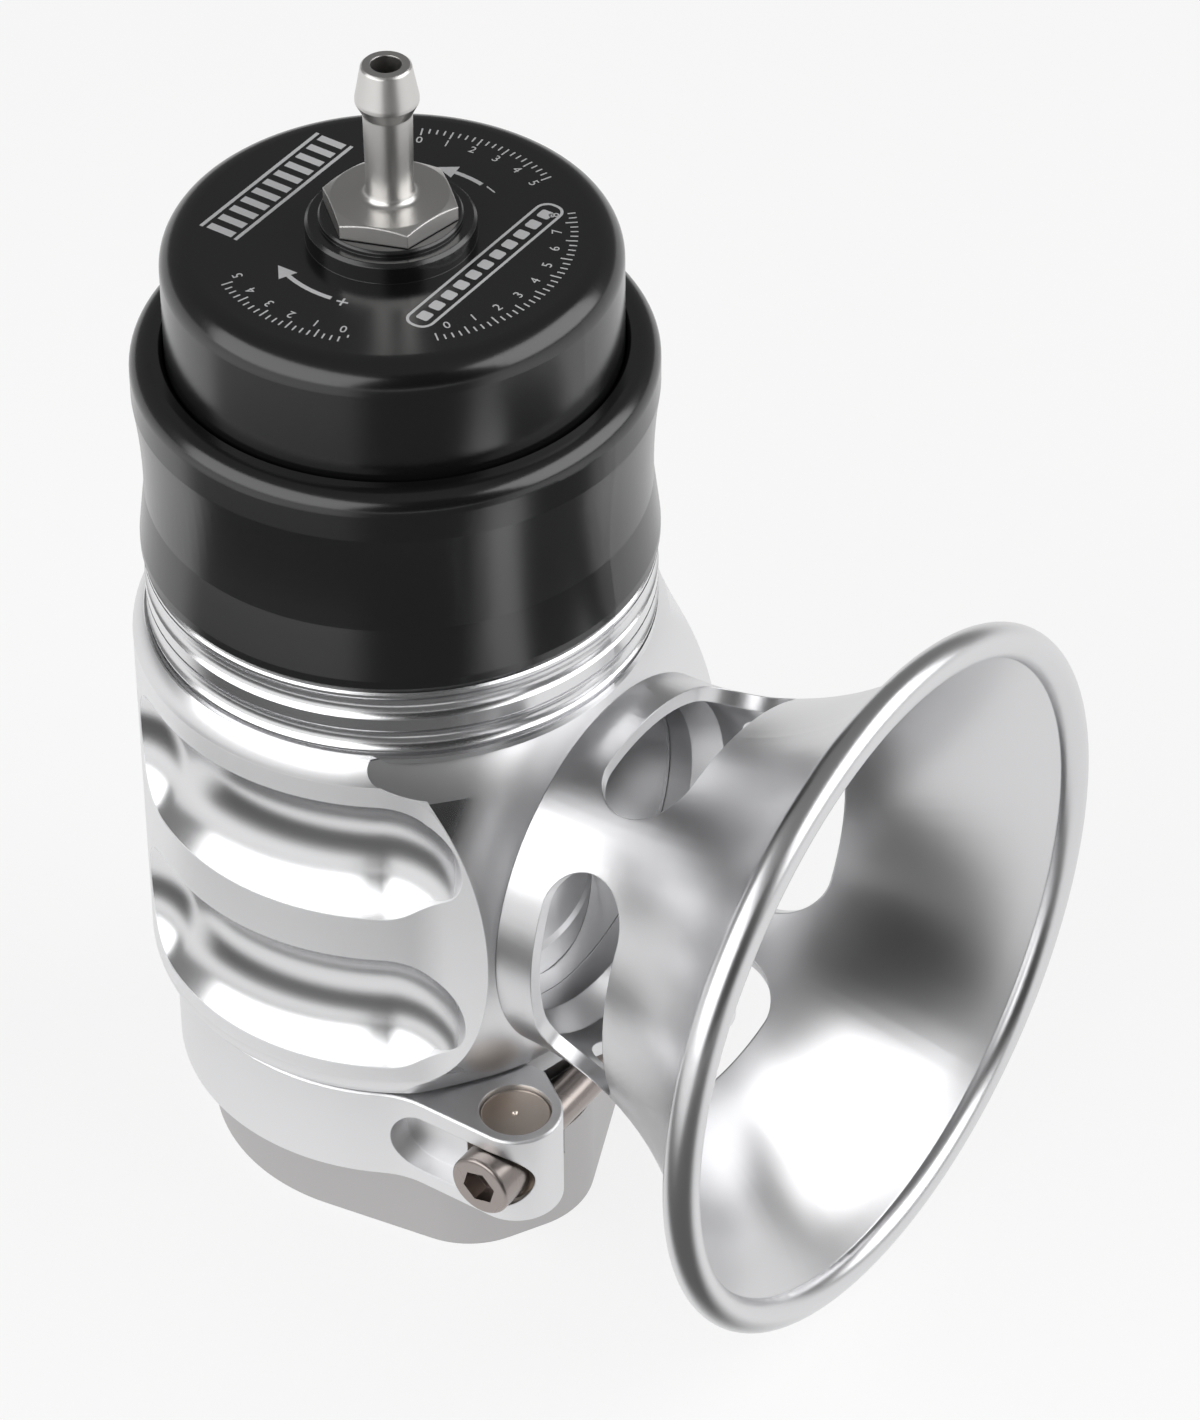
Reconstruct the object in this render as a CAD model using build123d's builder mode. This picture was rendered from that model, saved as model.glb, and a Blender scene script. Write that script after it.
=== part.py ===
from build123d import *
import math
import os

os.makedirs("parts", exist_ok=True)

# Blow off valve, in millimetres.
# Z runs up the valve's axis from the foot of the weld flange, X towards the outlet.

# Clearances used all over
RUN = 0.05
LOOSE = 0.1
FACE = 0.1
SEAL = 0.02

# Inlet and weld flange
INLET_R = 25.0
FLANGE_R = 31.75
FOOT_H = 13.2
JOINT_Z = 21.65
V_LIP_R = 32.3
V_NECK_R = 29.8
V_LAND = 2.6
V_DEPTH = 4.2
FACE_GROOVE_IN = 26.9
FACE_GROOVE_OUT = 29.4
FACE_GROOVE_D = 2.0

# Lobe of the flange under the ear at the photo's near side
LOBE_TIP_R = 39.2
LOBE_ANGLE = -29.0
LOBE_CORNER_R = 13.5
LOBE_SPREAD = 7.0
KEY_TOP = 18.3
KEY_NEAR_Y = -12.9
KEY_FAR_Y = 2.0

# Clamp collar
CLAMP_R = 36.5
CLAMP_BOTTOM = 13.4
CLAMP_H = 16.5
CLAMP_IN_R = 30.2
EAR_NOSE_R = 7.1
EAR_SIDE_Y = 30.75
EAR_BLEND_R = 14.0
PIN_X = 35.56
PIN_Y = 23.59
PIN_R = 5.4
PIN_RECESS = 0.75
GAP_IN_X = 34.4
GAP_IN_Y = 14.2
SLOT_H = 10.5
SLOT_TIP_X = 18.2
SLOT_END_X = 41.6
SLOT_FLOOR_Y = 27.6
SLOT_OPEN_X = 29.5

# Clamp screw: M6 socket cap screw
SCREW_R = 3.0
SCREW_HEAD_R = 5.0
SCREW_HEAD_H = 6.0
SCREW_LEN = 55.0
SCREW_KEY_AF = 5.0
SCREW_KEY_D = 3.0
SPOT_Y = 27.3

# Valve body
BORE_R = 27.5
TUBE_WALL = 2.8
TUBE_R = BORE_R + TUBE_WALL
BODY_R = 39.8
BODY_FLAT_Y = BORE_R + TUBE_WALL
WALL_LOW_Z = 36.0
WALL_TOP_Z = 93.0
FOOT_TURN_IN = 6.3
FOOT_TURN_Z = 30.25
SHOULDER_IN = 1.9
SHOULDER_Z = 96.8
OUTLET_Z = 63.1
SOCKET_D = 6.0
SOCKET_STOP = 3.0
OUTLET_FACE_X = BORE_R + SOCKET_STOP + SOCKET_D
DOME_FRONT_R = 29.3
DOME_MID_BACK = 3.7
DOME_MID_R = 34.43
DOME_KNEE_BACK = 8.0
DOME_KNEE_R = 38.5
DOME_END_BACK = 23.0
BLEND_R = 8.0
SEAT_Z = 38.0

# Ringed neck: two coves, a band between them and fine lines, all measured down from the neck's top
NECK_R = 37.5
NECK_TOP_Z = 108.55
NECK_EDGE = 0.3
COVE_R = 2.0
COVE_OUT = 1.3
COVE_DOWNS = (3.2, 8.85)
LINE_DOWNS = (0.95, 6.9)
LINE_W = 0.4
LINE_D = 0.4
FOOT_LINE_DOWN = 11.0
FOOT_LINE_W = 0.7
FOOT_LINE_D = 0.8

# Spigot that carries the black collar, and the tube above it that the cap turns on
SPIGOT_R = 35.0
SPIGOT_TOP_Z = NECK_TOP_Z + 12.45
SPIGOT_SEAL_R = 33.6
SPIGOT_SEAL_Z = SPIGOT_TOP_Z - 3.5
SPIGOT_SEAL_W = 2.2
TUBE_TOP_Z = SPIGOT_TOP_Z + 25.0

# Scoops
SCOOP_D = 5.0
SCOOP_CUT_R = 14.1
SCOOP_ZS = (49.3, 78.7)
SCOOP_SWEEP = 60.0

# Trumpet
TRUMPET_R = 29.3
TRUMPET_WALL = 2.3
FLARE_R = 58.5
TRUMPET_LEN = 47.8
BEAD_R = 2.6
BEAD_OUT = 0.38
OUTLET_R = 25.0
THROAT_BACK = 2.0
THROAT_LEN = 4.5
SOCKET_R = 27.2
TRUMPET_SEAL_R = 26.0
TRUMPET_SEAL_BACK = 3.2
TRUMPET_SEAL_W = 1.8
WINDOW_START = 6.5
WINDOW_W = 15.0
WINDOW_SPAN = 72.8
WINDOW_COUNT = 4
WINDOW_TURN = 4.5

# Black collar, waisted by a shallow arc between two bands
COLLAR_R = 37.8
COLLAR_BOTTOM = NECK_TOP_Z + FACE + RUN
COLLAR_TOP = COLLAR_BOTTOM + 34.5
COLLAR_BORE = 33.0
COLLAR_EDGE_R = 3.0
COLLAR_FOOT_EDGE = 0.5
COLLAR_FOOT_H = 2.3
WAIST_IN = 1.0
WAIST_LOW = 10.8
WAIST_MID = 18.8
WAIST_MID_IN = 0.85
WAIST_HIGH = 27.3

# Adjuster cap
CAP_R = 32.7
CAP_BOTTOM = SPIGOT_TOP_Z + 8.0
CAP_TOP = CAP_BOTTOM + 32.2
CAP_UNDER = CAP_TOP - 5.2
CAP_EDGE_R = 4.2
CAP_SEAL_R = 31.5
CAP_SEAL_Z = CAP_BOTTOM + 5.0
CAP_SEAL_W = 2.0
BOSS_R = 12.1
BOSS_TOP = CAP_TOP + 3.1
BOSS2_R = 10.2
BOSS2_TOP = BOSS_TOP + 0.9

# Hose nipple
HEX_AF = 17.0
HEX_BOTTOM = BOSS2_TOP + FACE
HEX_TOP = HEX_BOTTOM + 2.7
HEX_TURN = 20.0
NIPPLE_SHAFT_R = 3.5
NIPPLE_LOW_R = 3.35
BARB_R = 4.5
BARB_Z = HEX_TOP + 16.0
BARB_FOOT_Z = BARB_Z - 2.3
NIPPLE_TOP = BARB_Z + 5.5
NIPPLE_HOLE_R = 2.2
STUD_R = 4.8
STUD_BOTTOM = CAP_UNDER + 1.0
NIPPLE_SEAL_R = 7.0
NIPPLE_SEAL_D = 1.5

# Piston
PISTON_R = BORE_R - RUN
PISTON_TOP = 94.0
PISTON_FLOOR = 5.0
PISTON_IN_R = 24.2
PISTON_FOOT_H = 4.9
PISTON_HEAD_H = 14.0
PISTON_RELIEF = 0.45
PISTON_RING_R = 25.65
PISTON_RING_Z = 90.2
PISTON_RING_W = 2.4
WEAR_R = 26.3
WEAR_Z = 84.0
WEAR_W = 3.0
FACE_RING_IN = 25.4
FACE_RING_OUT = 26.8
FACE_RING_D = 1.9

# Springs
SPRING_R = 22.0
SPRING_WIRE = 1.5
SPRING_TURNS = 6
INNER_R = 16.5
INNER_WIRE = 1.2
INNER_TURNS = 7
WASHER_H = 3.0
WASHER_R = 27.2
WASHER_IN_R = 12.0
SPRING_SPIGOT_R = 15.1
SPRING_SPIGOT_H = 2.5
SPRING_SPIGOT_WALL = 2.5


# Weld flange

lobe_mid = LOBE_TIP_R - LOBE_CORNER_R
lobe_spots = []
for lobe_turn in (LOBE_ANGLE - LOBE_SPREAD, LOBE_ANGLE + LOBE_SPREAD):
    lobe_x = lobe_mid * math.cos(math.radians(lobe_turn))
    lobe_y = lobe_mid * math.sin(math.radians(lobe_turn))
    lobe_spots.append((lobe_x, lobe_y))

with BuildSketch(Plane.XY) as foot_plan:
    Circle(FLANGE_R)
    with Locations(*lobe_spots):
        Circle(LOBE_CORNER_R)
    make_hull()

with BuildPart() as weld_flange:
    with BuildSketch(Plane.XY):
        add(foot_plan.sketch)
    extrude(amount=FOOT_H)
    # Upstand between the ears
    with BuildSketch(Plane.XY.offset(FOOT_H - 1)):
        add(foot_plan.sketch)
        with Locations((V_NECK_R - 2, (KEY_NEAR_Y + KEY_FAR_Y) / 2)):
            Rectangle(LOBE_TIP_R, KEY_FAR_Y - KEY_NEAR_Y, align=(Align.MIN, Align.CENTER),
                      mode=Mode.INTERSECT)
    extrude(amount=KEY_TOP - FOOT_H + 1)
    # Neck and V lip that the clamp grips
    with BuildSketch(Plane.XZ):
        with BuildLine():
            Polyline((0, FOOT_H - 1), (V_NECK_R, FOOT_H - 1), (V_NECK_R, JOINT_Z - V_DEPTH),
                     (V_LIP_R, JOINT_Z - V_LAND), (V_LIP_R, JOINT_Z), (0, JOINT_Z), close=True)
        make_face()
    revolve(axis=Axis.Z)
    Hole(INLET_R)
    with BuildSketch(Plane.XY.offset(JOINT_Z)):
        Circle(FACE_GROOVE_OUT)
        Circle(FACE_GROOVE_IN, mode=Mode.SUBTRACT)
    extrude(amount=-FACE_GROOVE_D, mode=Mode.SUBTRACT)
weld_flange.part.label = "weld_flange"
export_step(weld_flange.part, "parts/weld_flange.step")

# Flange O-ring, squeezed between the two faces

face_seal_r = (FACE_GROOVE_D + FACE) / 2 - SEAL / 2
with BuildPart() as flange_o_ring:
    with Locations((0, 0, JOINT_Z - FACE_GROOVE_D + (FACE_GROOVE_D + FACE) / 2)):
        Torus((FACE_GROOVE_IN + FACE_GROOVE_OUT) / 2, face_seal_r)
flange_o_ring.part.label = "flange_o_ring"
export_step(flange_o_ring.part, "parts/flange_o_ring.step")


# Clamp collar

# The ears' blend circle touches the band outside and the ear's straight side.
blend_y = -(EAR_SIDE_Y + EAR_BLEND_R)
blend_x = math.sqrt((CLAMP_R + EAR_BLEND_R) ** 2 - blend_y ** 2)
blend_touch_x = blend_x * CLAMP_R / (CLAMP_R + EAR_BLEND_R)
blend_touch_y = blend_y * CLAMP_R / (CLAMP_R + EAR_BLEND_R)
blend_turn_a = math.atan2(blend_touch_y - blend_y, blend_touch_x - blend_x)
blend_turn_m = (blend_turn_a + math.pi / 2) / 2
blend_mid = (blend_x + EAR_BLEND_R * math.cos(blend_turn_m), blend_y + EAR_BLEND_R * math.sin(blend_turn_m))
# The ear's inner side leaves the nose circle on a tangent and runs to the gap's inner corner.
nose_dx = GAP_IN_X - PIN_X
nose_dy = -GAP_IN_Y + PIN_Y
nose_far = math.hypot(nose_dx, nose_dy)
nose_turn = math.atan2(nose_dy, nose_dx) - math.acos(EAR_NOSE_R / nose_far)
nose_touch = (PIN_X + EAR_NOSE_R * math.cos(nose_turn), -PIN_Y + EAR_NOSE_R * math.sin(nose_turn))
nose_turn_m = (-math.pi / 2 + nose_turn) / 2
nose_mid = (PIN_X + EAR_NOSE_R * math.cos(nose_turn_m), -PIN_Y + EAR_NOSE_R * math.sin(nose_turn_m))
# The rest of the outline lies inside the band.
root_a = (blend_touch_x * 0.95, blend_touch_y * 0.95)
root_b = (GAP_IN_X - 4, -GAP_IN_Y)

with BuildSketch(Plane.XY) as ear_plan:
    with BuildLine():
        Line(root_a, (blend_touch_x, blend_touch_y))
        ThreePointArc((blend_touch_x, blend_touch_y), blend_mid, (blend_x, -EAR_SIDE_Y))
        Line((blend_x, -EAR_SIDE_Y), (PIN_X, -PIN_Y - EAR_NOSE_R))
        ThreePointArc((PIN_X, -PIN_Y - EAR_NOSE_R), nose_mid, nose_touch)
        Polyline(nose_touch, (GAP_IN_X, -GAP_IN_Y), root_b, root_a)
    make_face()

lip_z = JOINT_Z + FACE
groove_r = V_LIP_R + 3 * LOOSE
clamp_top = CLAMP_BOTTOM + CLAMP_H
with BuildPart() as clamp_collar:
    with BuildSketch(Plane.XY.offset(CLAMP_BOTTOM)):
        Circle(CLAMP_R)
        add(ear_plan.sketch)
        mirror(ear_plan.sketch, about=Plane.XZ)
        # Gap between the ears
        with Locations((CLAMP_R, 0)):
            Rectangle(CLAMP_R, 2 * GAP_IN_Y, mode=Mode.SUBTRACT)
    extrude(amount=CLAMP_H)
    chamfer(clamp_collar.faces().filter_by(Axis.Z).edges(), 0.3)
    # Bore and V groove
    with BuildSketch(Plane.XZ):
        with BuildLine():
            Polyline((0, CLAMP_BOTTOM - 1), (CLAMP_IN_R, CLAMP_BOTTOM - 1),
                     (CLAMP_IN_R, JOINT_Z - V_DEPTH + LOOSE), (groove_r, JOINT_Z - V_LAND + LOOSE),
                     (groove_r, lip_z + V_LAND - LOOSE), (CLAMP_IN_R, lip_z + V_DEPTH - LOOSE),
                     (CLAMP_IN_R, clamp_top + 1), (0, clamp_top + 1), close=True)
        make_face()
    revolve(axis=Axis.Z, mode=Mode.SUBTRACT)
    # Bores for the barrel pins, and the holes that let the screw through the ears
    with Locations((PIN_X, -PIN_Y, CLAMP_BOTTOM), (PIN_X, PIN_Y, CLAMP_BOTTOM)):
        Cylinder(PIN_R + RUN, CLAMP_H, align=(Align.CENTER, Align.CENTER, Align.MIN), mode=Mode.SUBTRACT)
    with Locations((PIN_X, 0, JOINT_Z)):
        Cylinder(SCREW_R + 0.6, 3 * PIN_Y, rotation=(90, 0, 0), mode=Mode.SUBTRACT)
    # Milled slots for the screw's head and its tail
    for side in (1, -1):
        with BuildSketch(Plane.XZ.offset(side * SLOT_FLOOR_Y)):
            with Locations(((SLOT_TIP_X + SLOT_END_X) / 2, JOINT_Z)):
                SlotOverall(SLOT_END_X - SLOT_TIP_X, SLOT_H)
        extrude(amount=side * CLAMP_R, mode=Mode.SUBTRACT)
        with BuildSketch(Plane.XZ.offset(side * PIN_Y)):
            with Locations(((SLOT_TIP_X + SLOT_END_X) / 2, JOINT_Z)):
                SlotOverall(SLOT_END_X - SLOT_TIP_X, SLOT_H)
            with Locations((SLOT_OPEN_X, JOINT_Z)):
                Rectangle(SLOT_END_X, SLOT_H, align=(Align.MIN, Align.CENTER), mode=Mode.INTERSECT)
        extrude(amount=side * CLAMP_R, mode=Mode.SUBTRACT)
clamp_collar.part.label = "clamp_collar"
export_step(clamp_collar.part, "parts/clamp_collar.step")

# Barrel pins: the near one has a spot face for the screw's head, the far one takes its thread

pin_low = CLAMP_BOTTOM + 0.8
pin_top = clamp_top - PIN_RECESS
with BuildPart() as clamp_pin_plain:
    with Locations((PIN_X, -PIN_Y, pin_low)):
        Cylinder(PIN_R, pin_top - pin_low, align=(Align.CENTER, Align.CENTER, Align.MIN))
    chamfer(clamp_pin_plain.edges().filter_by(GeomType.CIRCLE), 0.3)
    with Locations((PIN_X, -PIN_Y, pin_top)):
        Cone(0.05, 0.55, 0.5, align=(Align.CENTER, Align.CENTER, Align.MAX), mode=Mode.SUBTRACT)
    with Locations((PIN_X, -PIN_Y, JOINT_Z)):
        Cylinder(SCREW_R + 0.1, 3 * PIN_R, rotation=(90, 0, 0), mode=Mode.SUBTRACT)
    with Locations((PIN_X, -SPOT_Y, JOINT_Z)):
        Cylinder(SCREW_HEAD_R + 0.15, 2 * PIN_R, rotation=(90, 0, 0),
                 align=(Align.CENTER, Align.CENTER, Align.MIN), mode=Mode.SUBTRACT)
clamp_pin_plain.part.label = "clamp_pin_plain"
export_step(clamp_pin_plain.part, "parts/clamp_pin_plain.step")

with BuildPart() as clamp_pin_threaded:
    with Locations((PIN_X, PIN_Y, pin_low)):
        Cylinder(PIN_R, pin_top - pin_low, align=(Align.CENTER, Align.CENTER, Align.MIN))
    chamfer(clamp_pin_threaded.edges().filter_by(GeomType.CIRCLE), 0.3)
    with Locations((PIN_X, PIN_Y, pin_top)):
        Cone(0.05, 0.55, 0.5, align=(Align.CENTER, Align.CENTER, Align.MAX), mode=Mode.SUBTRACT)
    with Locations((PIN_X, PIN_Y, JOINT_Z)):
        Cylinder(SCREW_R + RUN, 3 * PIN_R, rotation=(90, 0, 0), mode=Mode.SUBTRACT)
clamp_pin_threaded.part.label = "clamp_pin_threaded"
export_step(clamp_pin_threaded.part, "parts/clamp_pin_threaded.step")

# Clamp screw, its head's underside on the spot face of the near pin

with BuildPart() as clamp_screw:
    with Locations((PIN_X, -SPOT_Y - SEAL, JOINT_Z)):
        Cylinder(SCREW_HEAD_R, SCREW_HEAD_H, rotation=(90, 0, 0),
                 align=(Align.CENTER, Align.CENTER, Align.MIN))
    fillet(clamp_screw.edges().filter_by(GeomType.CIRCLE).sort_by(Axis.Y)[0], 0.6)
    with Locations((PIN_X, -SPOT_Y - SEAL, JOINT_Z)):
        Cylinder(SCREW_R, SCREW_LEN, rotation=(-90, 0, 0), align=(Align.CENTER, Align.CENTER, Align.MIN))
    chamfer(clamp_screw.edges().filter_by(GeomType.CIRCLE).sort_by(Axis.Y)[-1], 0.5)
    with BuildSketch(Plane(origin=(PIN_X, -SPOT_Y - SEAL - SCREW_HEAD_H, JOINT_Z), x_dir=(1, 0, 0),
                           z_dir=(0, -1, 0))):
        RegularPolygon(SCREW_KEY_AF / 2, 6, major_radius=False, rotation=15)
    extrude(amount=-SCREW_KEY_D, mode=Mode.SUBTRACT)
clamp_screw.part.label = "clamp_screw"
export_step(clamp_screw.part, "parts/clamp_screw.step")


# Valve body

corner_x = math.sqrt(BODY_R ** 2 - BODY_FLAT_Y ** 2)
outlet_axis = Axis((0, 0, OUTLET_Z), (1, 0, 0))
foot_turn_r = BODY_R - FOOT_TURN_IN
foot_turn_mid = (BODY_R - 1.8, FOOT_TURN_Z + 1.6)
shoulder_r = BODY_R - SHOULDER_IN
shoulder_mid_z = (WALL_TOP_Z + SHOULDER_Z) / 2
dome_front = (OUTLET_FACE_X, OUTLET_Z + DOME_FRONT_R)
dome_mid = (OUTLET_FACE_X - DOME_MID_BACK, OUTLET_Z + DOME_MID_R)
dome_knee = (OUTLET_FACE_X - DOME_KNEE_BACK, OUTLET_Z + DOME_KNEE_R)
dome_clear_z = OUTLET_Z + math.hypot(BODY_R, OUTLET_Z - FOOT_TURN_Z) + 4 * LOOSE
dome_end = (OUTLET_FACE_X - DOME_END_BACK, dome_clear_z)
foot_line_z = NECK_TOP_Z - FOOT_LINE_DOWN
scoop_path_r = BODY_R - SCOOP_D + SCOOP_CUT_R

with BuildSketch(Plane.XY) as barrel_plan:
    Circle(BODY_R)
    with Locations((OUTLET_FACE_X / 2, 0)):
        Rectangle(OUTLET_FACE_X, 2 * BODY_FLAT_Y)
    fillet(barrel_plan.vertices().sort_by_distance((corner_x, BODY_FLAT_Y, 0))[0], BLEND_R)
    fillet(barrel_plan.vertices().sort_by_distance((corner_x, -BODY_FLAT_Y, 0))[0], BLEND_R)

with BuildPart() as valve_body:
    # Round barrel with a squared block towards the outlet
    with BuildSketch(Plane.XY.offset(WALL_LOW_Z)):
        add(barrel_plan.sketch)
    extrude(amount=WALL_TOP_Z - WALL_LOW_Z)
    with BuildSketch(Plane.XZ):
        with BuildLine():
            Line((0, FOOT_TURN_Z), (foot_turn_r, FOOT_TURN_Z))
            ThreePointArc((foot_turn_r, FOOT_TURN_Z), foot_turn_mid, (BODY_R, WALL_LOW_Z))
            Line((BODY_R, WALL_LOW_Z), (BODY_R, WALL_TOP_Z))
            ThreePointArc((BODY_R, WALL_TOP_Z), (BODY_R - 0.55, shoulder_mid_z), (shoulder_r, SHOULDER_Z))
            Polyline((shoulder_r, SHOULDER_Z), (0, SHOULDER_Z), (0, FOOT_TURN_Z))
        make_face()
    revolve(axis=Axis.Z)
    # Dome of the outlet side, turned about the outlet's axis
    with BuildSketch(Plane.XZ):
        with BuildLine():
            dome_arc = ThreePointArc(dome_front, dome_mid, dome_knee)
            TangentArc(dome_knee, dome_end, tangent=dome_arc % 1)
            Polyline(dome_end, (-BODY_R - 5, dome_clear_z), (-BODY_R - 5, OUTLET_Z),
                     (OUTLET_FACE_X, OUTLET_Z), dome_front)
        make_face()
    revolve(axis=outlet_axis, mode=Mode.INTERSECT)
    # Foot with its V lip, ringed neck, spigot for the collar, and the tube the cap turns on
    with BuildSketch(Plane.XZ):
        with BuildLine():
            Polyline((0, lip_z), (V_LIP_R, lip_z), (V_LIP_R, lip_z + V_LAND), (V_NECK_R, lip_z + V_DEPTH),
                     (V_NECK_R, FOOT_TURN_Z + 1), (0, FOOT_TURN_Z + 1), close=True)
        make_face()
        with BuildLine():
            Polyline((0, SHOULDER_Z - 1), (NECK_R, SHOULDER_Z - 1), (NECK_R, NECK_TOP_Z - NECK_EDGE),
                     (NECK_R - NECK_EDGE, NECK_TOP_Z), (SPIGOT_R, NECK_TOP_Z), (SPIGOT_R, SPIGOT_TOP_Z - 0.5),
                     (SPIGOT_R - 0.5, SPIGOT_TOP_Z), (TUBE_R, SPIGOT_TOP_Z), (TUBE_R, TUBE_TOP_Z - 0.5),
                     (TUBE_R - 0.5, TUBE_TOP_Z), (0, TUBE_TOP_Z), close=True)
        make_face()
    revolve(axis=Axis.Z)
    # Coves and fine lines turned in the neck
    with BuildSketch(Plane.XZ):
        for down in COVE_DOWNS:
            with Locations((NECK_R + COVE_OUT, NECK_TOP_Z - down)):
                Circle(COVE_R)
        for down in LINE_DOWNS:
            with Locations((NECK_R, NECK_TOP_Z - down)):
                Rectangle(2 * LINE_D, LINE_W)
        with Locations((NECK_R, foot_line_z)):
            Rectangle(2 * FOOT_LINE_D, FOOT_LINE_W)
    revolve(axis=Axis.Z, mode=Mode.SUBTRACT)
    # Inlet throat and main bore
    with BuildSketch(Plane.XZ):
        with BuildLine():
            Polyline((0, lip_z - 1), (INLET_R, lip_z - 1), (INLET_R, SEAT_Z), (BORE_R, SEAT_Z),
                     (BORE_R, TUBE_TOP_Z - 0.8), (BORE_R + 0.8, TUBE_TOP_Z), (BORE_R + 0.8, TUBE_TOP_Z + 1),
                     (0, TUBE_TOP_Z + 1), close=True)
        make_face()
        with Locations(((SPIGOT_R + SPIGOT_SEAL_R) / 2, SPIGOT_SEAL_Z)):
            Rectangle(SPIGOT_R - SPIGOT_SEAL_R, SPIGOT_SEAL_W)
    revolve(axis=Axis.Z, mode=Mode.SUBTRACT)
    # Outlet bore and the trumpet's socket
    with Locations(Plane(origin=(0, 0, OUTLET_Z), z_dir=(1, 0, 0))):
        Cylinder(OUTLET_R, OUTLET_FACE_X + 5, align=(Align.CENTER, Align.CENTER, Align.MIN),
                 mode=Mode.SUBTRACT)
    with Locations(Plane(origin=(OUTLET_FACE_X - SOCKET_D, 0, OUTLET_Z), z_dir=(1, 0, 0))):
        Cylinder(SOCKET_R, SOCKET_D + 5, align=(Align.CENTER, Align.CENTER, Align.MIN), mode=Mode.SUBTRACT)
    # Two long scoops on each side, milled with a round cutter on a curved path
    for side_turn in (-90, 90):
        for scoop_z in SCOOP_ZS:
            start_x = math.cos(math.radians(side_turn - SCOOP_SWEEP / 2))
            start_y = math.sin(math.radians(side_turn - SCOOP_SWEEP / 2))
            with BuildSketch(Plane(origin=(0, 0, scoop_z), x_dir=(start_x, start_y, 0),
                                   z_dir=(start_y, -start_x, 0))):
                with Locations((scoop_path_r, 0)):
                    Circle(SCOOP_CUT_R)
            revolve(axis=Axis.Z, revolution_arc=SCOOP_SWEEP, mode=Mode.SUBTRACT)
            for end_turn in (side_turn - SCOOP_SWEEP / 2, side_turn + SCOOP_SWEEP / 2):
                end_x = scoop_path_r * math.cos(math.radians(end_turn))
                end_y = scoop_path_r * math.sin(math.radians(end_turn))
                with Locations((end_x, end_y, scoop_z)):
                    Sphere(SCOOP_CUT_R, mode=Mode.SUBTRACT)
valve_body.part.label = "valve_body"
export_step(valve_body.part, "parts/valve_body.step")


# Trumpet, turned about the outlet's axis, with a bead rim and long round-ended windows

flare_z = OUTLET_Z + TRUMPET_R + FLARE_R
trumpet_x = OUTLET_FACE_X + RUN


def flare_point(radius, x):
    return (x, flare_z - math.sqrt(radius ** 2 - (x - OUTLET_FACE_X) ** 2))


flare_in = FLARE_R + TRUMPET_WALL
bead_x = OUTLET_FACE_X + TRUMPET_LEN
bead_z = flare_point(FLARE_R + TRUMPET_WALL / 2, bead_x)[1] + BEAD_OUT
flare_mid_x = (OUTLET_FACE_X + bead_x) / 2
rim_out = flare_point(FLARE_R, bead_x - 0.8)
rim_in = flare_point(flare_in, bead_x - 0.1)
throat_x = OUTLET_FACE_X - THROAT_BACK
throat_end = flare_point(flare_in, throat_x + THROAT_LEN)
spigot_r = SOCKET_R - LOOSE
spigot_x = OUTLET_FACE_X - SOCKET_D + LOOSE
seal_x = OUTLET_FACE_X - TRUMPET_SEAL_BACK
with BuildPart() as trumpet:
    with BuildSketch(Plane.XZ):
        with BuildLine():
            ThreePointArc(flare_point(FLARE_R, trumpet_x), flare_point(FLARE_R, flare_mid_x), rim_out)
            Line(rim_out, rim_in)
            ThreePointArc(rim_in, flare_point(flare_in, flare_mid_x), throat_end)
            Polyline(throat_end, (throat_x, OUTLET_Z + OUTLET_R), (spigot_x, OUTLET_Z + OUTLET_R),
                     (spigot_x, OUTLET_Z + spigot_r), (trumpet_x, OUTLET_Z + spigot_r),
                     flare_point(FLARE_R, trumpet_x))
        make_face()
        with Locations((bead_x, bead_z)):
            Circle(BEAD_R)
        with Locations((seal_x, OUTLET_Z + SOCKET_R)):
            Rectangle(TRUMPET_SEAL_W, 2 * (SOCKET_R - TRUMPET_SEAL_R), mode=Mode.SUBTRACT)
    revolve(axis=outlet_axis)
    # Windows
    window_r = WINDOW_W / 2
    window_x = OUTLET_FACE_X + WINDOW_START + window_r
    window_low = OUTLET_R - 5
    window_high = flare_point(FLARE_R, window_x + window_r)[1] - OUTLET_Z + 5
    wall_r = flare_point(FLARE_R, window_x)[1] - OUTLET_Z
    window_sweep = WINDOW_SPAN - 2 * math.degrees(math.asin(window_r / wall_r))
    for count in range(WINDOW_COUNT):
        middle = WINDOW_TURN + count * 360 / WINDOW_COUNT
        start = middle - window_sweep / 2
        out = Vector(0, math.sin(math.radians(start)), math.cos(math.radians(start)))
        with BuildSketch(Plane(origin=(0, 0, OUTLET_Z), x_dir=(1, 0, 0), z_dir=Vector(1, 0, 0).cross(out))):
            with Locations((window_x, (window_low + window_high) / 2)):
                Rectangle(WINDOW_W, window_high - window_low)
        revolve(axis=outlet_axis, revolution_arc=-window_sweep, mode=Mode.SUBTRACT)
        for end_turn in (middle - window_sweep / 2, middle + window_sweep / 2):
            end_out = (0, math.sin(math.radians(end_turn)), math.cos(math.radians(end_turn)))
            with Locations(Plane(origin=(window_x, 0, OUTLET_Z), x_dir=(1, 0, 0), z_dir=end_out)):
                Cylinder(window_r, window_high, align=(Align.CENTER, Align.CENTER, Align.MIN),
                         mode=Mode.SUBTRACT)
trumpet.part.label = "trumpet"
export_step(trumpet.part, "parts/trumpet.step")

with BuildPart() as trumpet_o_ring:
    with Locations(Plane(origin=(seal_x, 0, OUTLET_Z), z_dir=(1, 0, 0))):
        Torus((TRUMPET_SEAL_R + SOCKET_R) / 2, (SOCKET_R - TRUMPET_SEAL_R) / 2 - SEAL / 2)
trumpet_o_ring.part.label = "trumpet_o_ring"
export_step(trumpet_o_ring.part, "parts/trumpet_o_ring.step")


# Black collar round the spigot

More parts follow.
